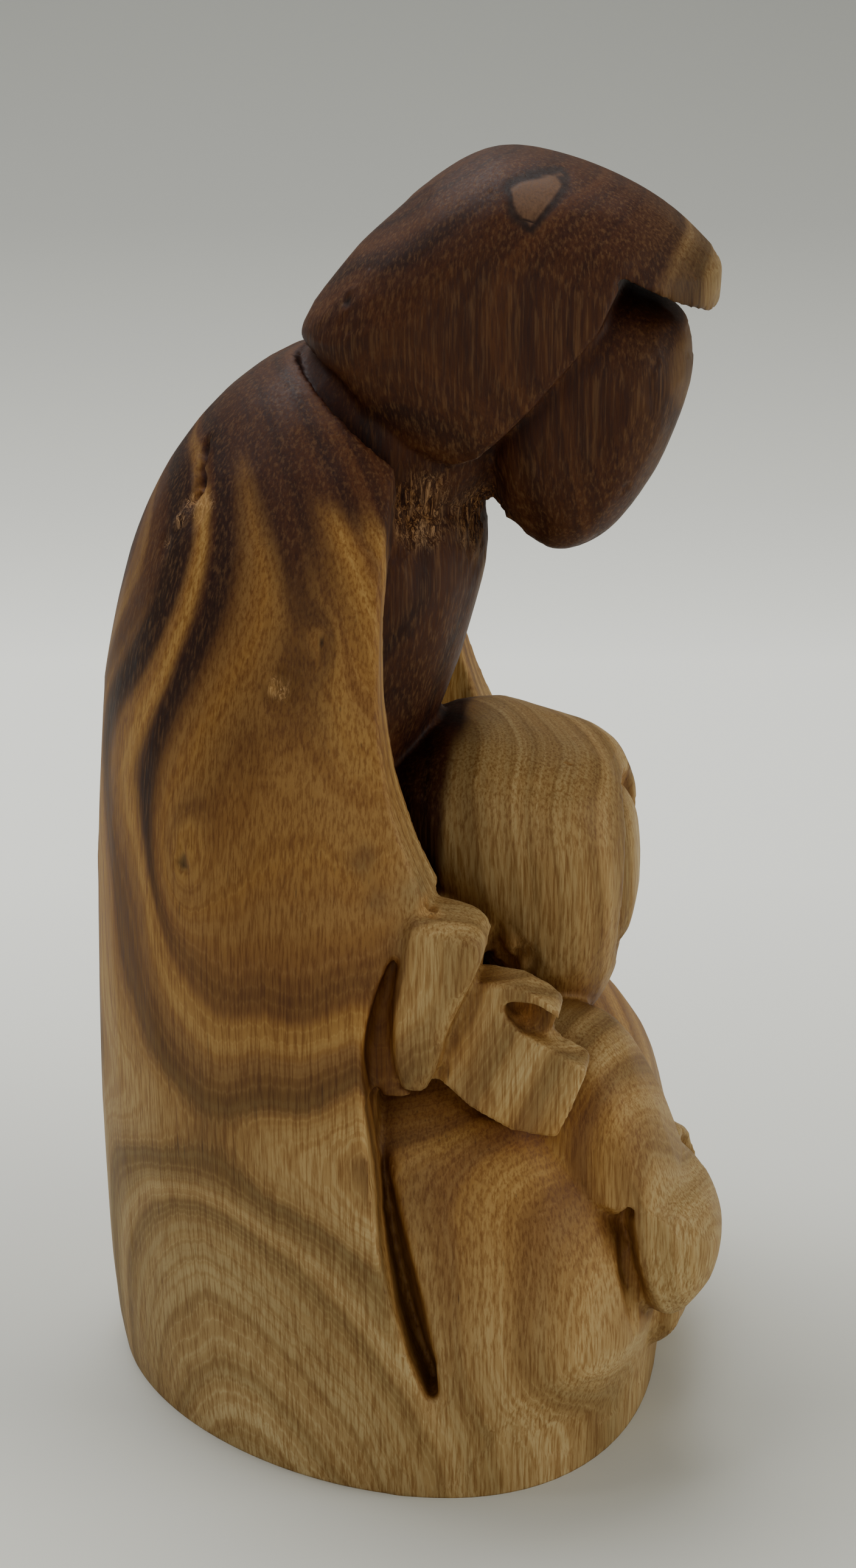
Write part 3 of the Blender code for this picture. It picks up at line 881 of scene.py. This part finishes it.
def tool_flats(spots, normals):
    """How far each point goes out to lie on the faint flats that knife and rasp leave."""
    seeds = {}
    for index, cell in enumerate(map(tuple, np.floor(spots / FLAT).astype(int))):
        seeds.setdefault(cell, index)
    tree = kdtree.KDTree(len(seeds))
    for index in seeds.values():
        tree.insert(spots[index], index)
    tree.balance()
    nearest = np.array([tree.find(spot)[1] for spot in spots])
    agree = (normals * normals[nearest]).sum(axis=1)
    out = ((spots[nearest] - spots) * normals[nearest]).sum(axis=1)
    return np.where(agree > SAME_WAY, np.clip(out, -MOST_FLAT, MOST_FLAT), 0) * FLATTENING


def inlay(spots):
    """How deep each point lies inside the kite-shaped knot on the hood, below 0 outside it."""
    wander = spots + 0.35 * noisy(spots, (1.4, 1.4, 1.4), 9)[:, None]
    depth = np.full(len(spots), KITE_FAR)
    for (f0, u0), (f1, u1) in zip(KITE, KITE[1:] + KITE[:1]):
        length = math.hypot(f1 - f0, u1 - u0)
        side = (f1 - f0) * (wander[:, 2] - u0) - (u1 - u0) * (wander[:, 0] - f0)
        depth = np.minimum(depth, -side / length)
    return np.where(spots[:, 1] < KITE_SIDE, np.clip(depth, -KITE_FAR, KITE_FAR), -KITE_FAR)


def relief(mesh):
    """The finer carving: flats of the tools, the crack, the knots and the torn wood."""
    spots = places(mesh)
    normals = np.empty(len(mesh.vertices) * 3)
    mesh.vertices.foreach_get("normal", normals)
    normals = normals.reshape(-1, 3)
    turned = np.stack([-normals[:, 1], normals[:, 0], normals[:, 2]], axis=1)
    out = tool_flats(spots, turned)
    out += near(spots, TORN) * (TORN_ROUGH * noisy(spots, (0.9, 0.9, 1.8), 6) - TORN_DEEP)
    out -= CRACK_DEEP * cracked(spots)
    out -= CHIP_DEEP * near(spots, [CHIP])
    for *centre, reach, _ in KNOTS:
        distance = np.linalg.norm(spots - np.array(centre), axis=1)
        out += KNOT_RIM * bump(distance - 0.35 * reach, 0.5)
        out -= KNOT_PIT * bump(distance, 0.25 * reach)
    out -= KITE_LINE_DEEP * bump(inlay(spots), KITE_LINE_WIDE)
    out *= smooth_step(FOOT_FLAT, FOOT_FREE, spots[:, 2])
    moved = np.empty(len(mesh.vertices) * 3)
    mesh.vertices.foreach_get("co", moved)
    moved = moved.reshape(-1, 3) + normals * (out * UNIT)[:, None]
    mesh.vertices.foreach_set("co", moved.ravel())
    mesh.update()


def hollowness(mesh):
    """How shut in each point is, from 0 in the open to 1 deep in a hollow."""
    shape = bmesh.new()
    shape.from_mesh(mesh)
    tree = bvhtree.BVHTree.FromBMesh(shape)
    shape.free()
    rays = []
    for k in range(HOLLOW_RAYS):
        height = math.sqrt((k + 0.5) / HOLLOW_RAYS)
        turn = k * GOLDEN_ANGLE
        ring = math.sqrt(1 - height * height)
        rays.append(Vector((ring * math.cos(turn), ring * math.sin(turn), height)))
    reach = HOLLOW_REACH * UNIT
    shares = []
    for vert in mesh.vertices:
        turned = Vector((0, 0, 1)).rotation_difference(vert.normal)
        start = vert.co + vert.normal * (0.25 * UNIT)
        shut = 0.0
        for ray in rays:
            distance = tree.ray_cast(start, turned @ ray, reach)[3]
            if distance is not None:
                shut += 1 - distance / reach
        shares.append(shut / HOLLOW_RAYS)
    return np.array(shares)


def grown(mesh):
    """Gives the piece its wood as values at each point, which the material reads."""
    spots = places(mesh)
    radius = growth(spots)
    knots = near(spots, [(*centre, KNOT_EYE * reach) for *centre, reach, _ in KNOTS])
    wood = {
        "growth": radius,
        # Heartwood, with painted shade on the chest and the back of the veil.
        "heartwood": heartwood(spots, radius),
        "torn": near(spots, TORN),
        "dark_mark": np.maximum(cracked(spots), 0.8 * knots),
        "smudge": near(spots, SMUDGES),
        # How shut in each point is, which sets the painted shade in the hollows.
        "hollow": hollowness(mesh),
        "inlay": inlay(spots),
    }
    for name, values in wood.items():
        layer = mesh.attributes.new(name, "FLOAT", "POINT")
        layer.data.foreach_set("value", np.asarray(values, dtype=np.float32))


def colour(code):
    """An sRGB hex colour as the linear numbers that Blender takes."""
    parts = [int(code[k:k + 2], 16) / 255 for k in (1, 3, 5)]
    return (*(c / 12.92 if c <= 0.04045 else ((c + 0.055) / 1.055) ** 2.4 for c in parts), 1.0)


def node(tree, kind, inputs, output=0, stops=(), **settings):
    """Adds a node and gives back one of its outputs.

    An input is a value or another node's output. Stops are a colour ramp's places and colours.
    """
    made = tree.nodes.new("ShaderNode" + kind)
    for name, value in settings.items():
        setattr(made, name, value)
    for name, value in inputs.items():
        if isinstance(value, bpy.types.NodeSocket):
            tree.links.new(value, made.inputs[name])
        else:
            made.inputs[name].default_value = value
    if stops:
        elements = made.color_ramp.elements
        while len(elements) < len(stops):
            elements.new(0.5)
        for element, (place, code) in zip(elements, stops):
            element.position = place
            element.color = colour(code)
    return made.outputs[output]


def olive_wood():
    """Olive wood: honey-pale outer wood and dark brown heartwood with wandering growth bands.

    It is carved with gouge and knife, sanded smooth and rubbed with oil. So the eye sees the
    nested bands first, then fine upright fibres and dark pores, under a soft satin sheen that
    is duller where the wood is torn.
    """
    material = bpy.data.materials.new("olive_wood")
    material.use_nodes = True
    tree = material.node_tree
    shader = tree.nodes["Principled BSDF"]
    coords = node(tree, "TexCoord", {}, "Object")
    placed = node(tree, "Mapping", {"Vector": coords, "Scale": (1 / UNIT, 1 / UNIT, 1 / UNIT)})
    along = node(tree, "Mapping", {"Vector": placed, "Scale": GRAIN_RUN})
    high = node(tree, "SeparateXYZ", {"Vector": placed}, "Z")
    back = node(tree, "SeparateXYZ", {"Vector": placed}, "Y")
    rings, heart_and_shade, torn, dark_mark, smudge, hollow, kite = (
        node(tree, "Attribute", {}, "Fac", attribute_name=name)
        for name in ("growth", "heartwood", "torn", "dark_mark", "smudge", "hollow", "inlay")
    )

    # The growth bands, broad and fine, calmer low down and in front.
    ripple = node(tree, "TexNoise", {"Vector": along, "Scale": RIPPLE, "Detail": 2.0})
    ripple = node(tree, "Math", {0: ripple, 1: 0.44, 2: -0.22}, operation="MULTIPLY_ADD")
    rings = node(tree, "Math", {0: rings, 1: ripple}, operation="ADD")
    bands = []
    for scale, detail, start in ((BROAD_BANDS, 0.8, 0.0), (FINE_BANDS, 1.5, 40.0)):
        place = node(tree, "Math", {0: rings, 1: scale, 2: start}, operation="MULTIPLY_ADD")
        bands.append(node(tree, "TexNoise", {
            "W": place, "Scale": 1.0, "Detail": detail, "Roughness": 0.55,
        }, noise_dimensions="1D"))
    broad, fine = bands
    strong = node(tree, "MapRange", {0: rings, 1: STRONG_FROM, 2: STRONG_TO})
    strong = node(tree, "ValToRGB", {"Fac": strong}, stops=STRONG_RINGS)
    strong = node(tree, "Math", {0: strong, 1: 1.0}, operation="SUBTRACT")
    broad = node(tree, "Math", {0: broad, 1: strong}, operation="ADD")
    low_calm = node(tree, "MapRange", {0: high, 1: 26, 2: 60, 3: 0.62, 4: 1.0}, **SMOOTH)
    front_calm = node(tree, "MapRange", {0: back, 1: -9, 2: -2, 3: 0.5, 4: 1.0}, **SMOOTH)
    contrast = node(tree, "Math", {0: low_calm, 1: front_calm}, operation="MULTIPLY")
    broad = node(tree, "Math", {0: broad, 1: contrast, 2: 0.5}, operation="MULTIPLY_ADD")

    # Straw goes over to gold higher up, lower down in front, but less on the arms and the veil.
    lift = node(tree, "MapRange", {0: back, 1: -10, 2: -2, 3: 20.0, 4: 0.0}, **SMOOTH)
    lifted = node(tree, "Math", {0: high, 1: lift}, operation="ADD")
    gold_up = node(tree, "MapRange", {0: lifted, 1: 22, 2: 64}, **SMOOTH)
    gold_back = node(tree, "MapRange", {0: back, 1: -36, 2: -24}, **SMOOTH)
    gold = node(tree, "Math", {0: gold_up, 1: gold_back}, operation="MULTIPLY")
    arms_up = node(tree, "MapRange", {0: high, 1: 44, 2: 54}, **SMOOTH)
    arms_front = node(tree, "MapRange", {0: back, 1: -1, 2: -7, 3: 0.0, 4: 0.7}, **SMOOTH)
    arms = node(tree, "Math", {0: arms_up, 1: arms_front}, operation="MULTIPLY")
    gold = node(tree, "Math", {0: gold, 1: arms}, operation="SUBTRACT", use_clamp=True)
    straw_wood = node(tree, "ValToRGB", {"Fac": broad}, stops=STRAW)
    gold_wood = node(tree, "ValToRGB", {"Fac": broad}, stops=GOLD)
    wood = node(tree, "Mix", {0: gold, 6: straw_wood, 7: gold_wood}, 2, **COVER)

    # The heartwood's edge follows the bands.
    edge = node(tree, "Math", {0: broad, 1: -0.7, 2: 0.35}, operation="MULTIPLY_ADD")
    close = node(tree, "MapRange", {0: heart_and_shade, 1: 0.0, 2: 0.2, 3: 0.2, 4: 1.0}, **SMOOTH)
    edge = node(tree, "Math", {0: edge, 1: close}, operation="MULTIPLY")
    heart_and_shade = node(tree, "Math", {0: heart_and_shade, 1: edge}, operation="ADD")
    heart_and_shade = node(tree, "MapRange", {0: heart_and_shade, 1: 0.08, 2: 0.92}, **SMOOTH)
    # The dark wood goes on as heartwood, and between the cloak's edges as painted shade too.
    dark_wood = node(tree, "ValToRGB", {"Fac": broad}, stops=HEARTWOOD)
    wood = node(tree, "Mix", {0: heart_and_shade, 6: wood, 7: dark_wood}, 2, **COVER)

    # Ring lines, fibres, light fibres in the heartwood, pores in drifts, and clouds of tone.
    ring_lines = node(tree, "ValToRGB", {"Fac": fine}, stops=RING_LINES)
    wood = node(tree, "Mix", {0: 1.0, 6: wood, 7: ring_lines}, 2, **TINT)
    fibre = node(tree, "TexNoise", {
        "Vector": along, "Scale": FIBRE, "Detail": 4.0, "Roughness": 0.65,
    })
    fibres = node(tree, "ValToRGB", {"Fac": fibre}, stops=FIBRES)
    wood = node(tree, "Mix", {0: 1.0, 6: wood, 7: fibres}, 2, **TINT)
    long = node(tree, "Mapping", {"Vector": placed, "Scale": LIGHT_RUN})
    light = node(tree, "TexNoise", {
        "Vector": long, "Scale": LIGHT, "Detail": 3.0, "Roughness": 0.6,
    })
    light = node(tree, "MapRange", {0: light, 1: 0.46, 2: 0.70, 3: 0.0, 4: 0.42}, **SMOOTH)
    light = node(tree, "Math", {0: light, 1: heart_and_shade}, operation="MULTIPLY")
    wood = node(tree, "Mix", {0: light, 6: wood, 7: colour(LIGHT_FIBRE)}, 2, **COVER)
    pores = node(tree, "TexVoronoi", {"Vector": along, "Scale": PORES, "Randomness": 1.0})
    pores = node(tree, "MapRange", {0: pores, 1: 0.0, 2: 0.16, 3: 1.0, 4: 0.0}, **SMOOTH)
    drifts = node(tree, "TexNoise", {"Vector": placed, "Scale": DRIFTS, "Detail": 2.0})
    drifts = node(tree, "MapRange", {0: drifts, 1: 0.45, 2: 0.62}, **SMOOTH)
    drifts = node(tree, "Math", {0: drifts, 1: 0.55}, operation="MULTIPLY")
    pores = node(tree, "Math", {0: pores, 1: drifts}, operation="MULTIPLY")
    wood = node(tree, "Mix", {0: pores, 6: wood, 7: colour(PORE)}, 2, **COVER)
    clouds = node(tree, "TexNoise", {"Vector": placed, "Scale": CLOUD, "Detail": 3.0})
    clouds = node(tree, "ValToRGB", {"Fac": clouds}, stops=CLOUDS)
    wood = node(tree, "Mix", {0: 1.0, 6: wood, 7: clouds}, 2, **TINT)

    # Torn wood, the crack and the knots' eyes, painted shade in the hollows, and smudges.
    splinters = node(tree, "TexNoise", {
        "Vector": along, "Scale": SPLINTER, "Detail": 6.0, "Roughness": 0.8, "Distortion": 1.5,
    })
    torn_pale = node(tree, "ValToRGB", {"Fac": splinters}, stops=TORN_WOOD)
    torn_dark = node(tree, "ValToRGB", {"Fac": splinters}, stops=TORN_HEART)
    torn_wood = node(tree, "Mix", {0: heart_and_shade, 6: torn_pale, 7: torn_dark}, 2, **COVER)
    torn_share = node(tree, "MapRange", {0: torn, 1: 0.25, 2: 0.8}, **SMOOTH)
    torn_share = node(tree, "Math", {0: torn_share, 1: 0.75}, operation="MULTIPLY")
    wood = node(tree, "Mix", {0: torn_share, 6: wood, 7: torn_wood}, 2, **COVER)
    dark = node(tree, "MapRange", {0: dark_mark, 1: 0.25, 2: 0.8, 3: 0.0, 4: 0.92}, **SMOOTH)
    wood = node(tree, "Mix", {0: dark, 6: wood, 7: colour(CRACK_DARK)}, 2, **COVER)
    # Painted shade: darker the more shut in a place is, with a little of the fibres.
    hollow_shade = node(tree, "Math", {0: fibre, 1: 0.12, 2: hollow}, operation="MULTIPLY_ADD")
    hollow_shade = node(tree, "ValToRGB", {"Fac": hollow_shade}, stops=PAINTED_HOLLOW_SHADE)
    wood = node(tree, "Mix", {0: 1.0, 6: wood, 7: hollow_shade}, 2, **TINT)
    grey = node(tree, "Math", {0: fibre, 1: 0.9}, operation="MULTIPLY")
    grey = node(tree, "Math", {0: smudge, 1: grey}, operation="MULTIPLY")
    wood = node(tree, "Mix", {0: grey, 6: wood, 7: colour(SMUDGE_GREY)}, 2, **COVER)

    # The kite-shaped knot and its dark edge.
    inside = node(tree, "MapRange", {0: kite, 1: 0.0, 2: 0.4, 3: 0.0, 4: 0.9}, **SMOOTH)
    kite_wood = node(tree, "ValToRGB", {"Fac": fibre}, stops=KITE_WOOD)
    wood = node(tree, "Mix", {0: inside, 6: wood, 7: kite_wood}, 2, **COVER)
    outer = node(tree, "MapRange", {0: kite, 1: -0.9, 2: -0.1}, **SMOOTH)
    inner = node(tree, "MapRange", {0: kite, 1: 0.5, 2: 0.0}, **SMOOTH)
    rim = node(tree, "Math", {0: outer, 1: inner}, operation="MULTIPLY")
    rim = node(tree, "Math", {0: rim, 1: 0.8}, operation="MULTIPLY")
    wood = node(tree, "Mix", {0: rim, 6: wood, 7: colour(KITE_EDGE)}, 2, **COVER)
    tree.links.new(wood, shader.inputs["Base Color"])

    # A satin sheen, duller on fibres and torn wood, over fibres and rings that can just be felt.
    dull = node(tree, "Math", {0: torn, 1: 0.35}, operation="MULTIPLY")
    sheen = node(tree, "MapRange", {0: fibre, 1: 0.3, 2: 0.7, 3: 0.54, 4: 0.68}, **SMOOTH)
    sheen = node(tree, "Math", {0: sheen, 1: dull}, operation="ADD", use_clamp=True)
    tree.links.new(sheen, shader.inputs["Roughness"])
    fibre_height = node(tree, "Math", {0: fibre, 1: 0.5}, operation="MULTIPLY")
    ring_height = node(tree, "Math", {0: fine, 1: 0.35}, operation="MULTIPLY")
    pore_depth = node(tree, "Math", {0: pores, 1: 0.8}, operation="MULTIPLY")
    height = node(tree, "Math", {0: fibre_height, 1: ring_height}, operation="ADD")
    height = node(tree, "Math", {0: height, 1: pore_depth}, operation="SUBTRACT")
    felt = node(tree, "Bump", {"Height": height, "Strength": 0.35, "Distance": 0.12 * UNIT})
    tree.links.new(felt, shader.inputs["Normal"])
    shader.inputs["IOR"].default_value = 1.47
    shader.inputs["Specular IOR Level"].default_value = 0.2
    return material


def paper():
    """Matt pale paper with painted light and shade: a little greyer close to the camera and far
    behind the carving.
    """
    material = bpy.data.materials.new("backdrop_paper")
    material.use_nodes = True
    tree = material.node_tree
    shader = tree.nodes["Principled BSDF"]
    coords = node(tree, "TexCoord", {}, "Object")
    away = node(tree, "VectorMath", {0: coords, 1: view_away()}, "Value", operation="DOT_PRODUCT")
    away = node(tree, "MapRange", {0: away, 1: PAPER_FROM, 2: PAPER_TO})
    # Painted light and shade: the paper's tone rises to a bright band and falls off towards the
    # camera and far behind.
    tone = node(tree, "ValToRGB", {"Fac": away}, stops=PAPER_PAINTED_LIGHT)
    tree.links.new(tone, shader.inputs["Base Color"])
    shader.inputs["Roughness"].default_value = 0.85
    return material


def holy_family():
    """The carving: the frame's form made fine, with the relief and the wood that it lacks."""
    made = carving()
    mesh = made.data
    relief(mesh)
    grown(mesh)
    mesh.shade_smooth()
    mesh.materials.clear()
    mesh.materials.append(olive_wood())
    made.name = "family_wood"
    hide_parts("holy_family_carving")
    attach(made, "root")


def view_away():
    """The level direction that the camera looks in."""
    view = CAMERA_TO - CAMERA_AT
    view.z = 0
    return view.normalized()


def sweep():
    """The floor and the backdrop as one curved sheet behind the carving."""
    profile = [(-SWEEP_NEAR, 0.0)]
    for k in range(SWEEP_STEPS + 1):
        angle = k / SWEEP_STEPS * math.pi / 2
        out, up = SWEEP_BEND * math.sin(angle), SWEEP_BEND * (1 - math.cos(angle))
        profile.append((SWEEP_FAR + out, up))
    profile.append((SWEEP_FAR + SWEEP_BEND, SWEEP_TOP))
    away = view_away()
    aside = Vector((-away.y, away.x, 0))
    last = len(profile) - 1
    mesh = bmesh.new()
    bmesh.ops.create_grid(mesh, x_segments=1, y_segments=last, size=0.5)
    for vert in mesh.verts:
        out, up = profile[round((vert.co.y + 0.5) * last)]
        side = math.copysign(SWEEP_WIDE, vert.co.x)
        vert.co = away * out + aside * side + Vector((0, 0, up))
    made = piece("backdrop", mesh)
    made.data.shade_smooth()
    made.data.materials.append(paper())


def aimed(name, data, place, target):
    """An object for a light or a camera, which looks from place to target."""
    made = bpy.data.objects.new(name, data)
    made.location = place
    aim = Vector(target) - Vector(place)
    made.rotation_euler = aim.to_track_quat("-Z", "Y").to_euler()
    bpy.context.scene.collection.objects.link(made)
    return made


def lights():
    """Three soft boxes and an even, dim room."""
    for name, place, target, wide, tall, power, tint in LAMPS:
        light = bpy.data.lights.new(name, "AREA")
        light.shape = "RECTANGLE"
        light.size = wide
        light.size_y = tall
        light.energy = power
        light.color = colour(tint)[:3]
        aimed(name, light, place, target)
    world = bpy.data.worlds.new("room")
    world.use_nodes = True
    background = world.node_tree.nodes["Background"]
    background.inputs["Color"].default_value = colour(ROOM)
    background.inputs["Strength"].default_value = ROOM_STRENGTH
    bpy.context.scene.world = world


def camera():
    """The photograph's viewpoint: from the man's right, a little in front and above."""
    data = bpy.data.cameras.new("camera")
    data.sensor_fit = "VERTICAL"
    data.sensor_height = SENSOR
    data.lens = LENS
    bpy.context.scene.camera = aimed("camera", data, CAMERA_AT, CAMERA_TO)


holy_family()
sweep()
lights()
camera()
